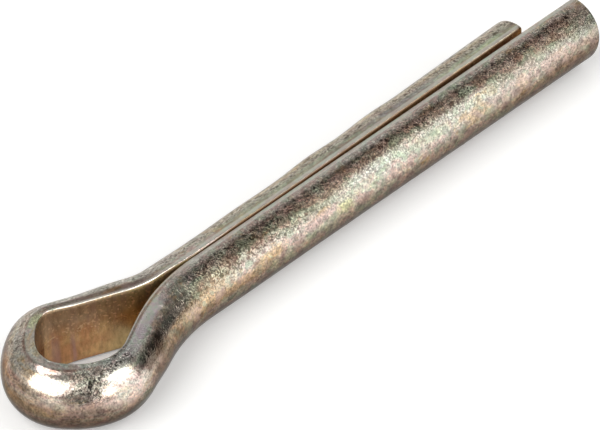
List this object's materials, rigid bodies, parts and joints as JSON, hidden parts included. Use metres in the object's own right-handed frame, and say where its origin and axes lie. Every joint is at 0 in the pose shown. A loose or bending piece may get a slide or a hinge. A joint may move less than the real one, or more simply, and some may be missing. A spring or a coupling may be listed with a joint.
{
  "type": "cotter pin",
  "caption": "Split pin bent from half-round wire, with a pear-shaped eye and a round shank of unequal legs lying flat to flat.",
  "frame": {"origin": "on the shank's centre line, in the middle of the wire's width, where the long leg leaves the eye", "axes": "+X along the shank towards the tips, +Y towards the short leg, +Z across the wire's width, upwards as the pin lies"},
  "size_m": [0.0721, 0.0151, 0.007],
  "materials": {
    "yellow_zinc": "yellow-passivated zinc plating, satin and mottled, with pink, gold and green tints"
  },
  "bodies": {
    "root": {"cotter_pin": "yellow_zinc"}
  },
  "joints": []
}
